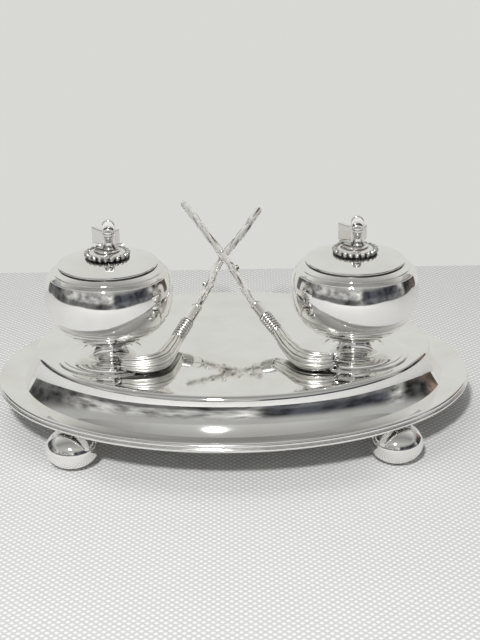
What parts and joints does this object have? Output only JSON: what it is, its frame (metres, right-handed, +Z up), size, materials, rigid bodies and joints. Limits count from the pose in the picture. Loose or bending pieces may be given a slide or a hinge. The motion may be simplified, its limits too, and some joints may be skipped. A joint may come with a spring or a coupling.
{
  "type": "desk inkstand",
  "caption": "Footed oval silver-plated desk inkstand with curling-stone inkwells, hinged lids with rosette finials and crossed curling brooms as a pen rest",
  "frame": {"origin": "on the table under the middle of the oval tray", "axes": "+Z up, +X along the tray to the right seen from the front, +Y to the back"},
  "size_m": [0.29, 0.2219, 0.131],
  "materials": {
    "tray_silver": "polished silver plate",
    "rim_silver": "polished reeded silver plate",
    "foot_silver": "polished silver plate",
    "stone_silver": "polished silver plate with engraved rings",
    "lid_silver": "polished silver plate",
    "finial_silver": "cast and polished silver plate, dark in the notches",
    "broom_silver": "cast silver plate, chased, darker in the grooves",
    "clear_glass": "clear pressed glass",
    "steel_fixing": "turned steel"
  },
  "bodies": {
    "stand": {"tray": "tray_silver", "rim_border": "rim_silver", "foot_front_left": "foot_silver", "foot_front_right": "foot_silver", "foot_rear_left": "foot_silver", "foot_rear_right": "foot_silver", "pedestal_left": "stone_silver", "bowl_left": "stone_silver", "collar_left": "lid_silver", "glass_liner_left": "clear_glass", "inkwell_bolt_left": "steel_fixing", "inkwell_washer_left": "steel_fixing", "collar_knuckles_left": "lid_silver", "hinge_pin_left": "steel_fixing", "broom_handle_left": "broom_silver", "broom_binding_left": "broom_silver", "broom_head_left": "broom_silver", "broom_screw_left": "steel_fixing", "broom_washer_left": "steel_fixing", "pedestal_right": "stone_silver", "bowl_right": "stone_silver", "collar_right": "lid_silver", "glass_liner_right": "clear_glass", "inkwell_bolt_right": "steel_fixing", "inkwell_washer_right": "steel_fixing", "collar_knuckles_right": "lid_silver", "hinge_pin_right": "steel_fixing", "broom_handle_right": "broom_silver", "broom_binding_right": "broom_silver", "broom_head_right": "broom_silver", "broom_screw_right": "steel_fixing", "broom_washer_right": "steel_fixing", "crossing_rivet": "broom_silver"},
    "lid_left_body": {"lid_knuckle_left": "lid_silver", "lid_left": "lid_silver", "rosette_left": "finial_silver", "handle_disc_left": "finial_silver", "handle_post_left": "finial_silver", "handle_ferrule_left": "finial_silver", "handle_grip_left": "finial_silver", "handle_brace_left": "finial_silver", "handle_stud_left": "steel_fixing"},
    "lid_right_body": {"lid_knuckle_right": "lid_silver", "lid_right": "lid_silver", "rosette_right": "finial_silver", "handle_disc_right": "finial_silver", "handle_post_right": "finial_silver", "handle_ferrule_right": "finial_silver", "handle_grip_right": "finial_silver", "handle_brace_right": "finial_silver", "handle_stud_right": "steel_fixing"}
  },
  "joints": [
    {"name": "lid_hinge_left", "type": "hinge", "parent": "stand", "child": "lid_left_body", "pos_m": [-0.0725, 0.0099, 0.1052], "axis": [-1, 0, 0], "range_deg": [0, 100]},
    {"name": "lid_hinge_right", "type": "hinge", "parent": "stand", "child": "lid_right_body", "pos_m": [0.0725, 0.0099, 0.1052], "axis": [-1, 0, 0], "range_deg": [0, 100]}
  ]
}
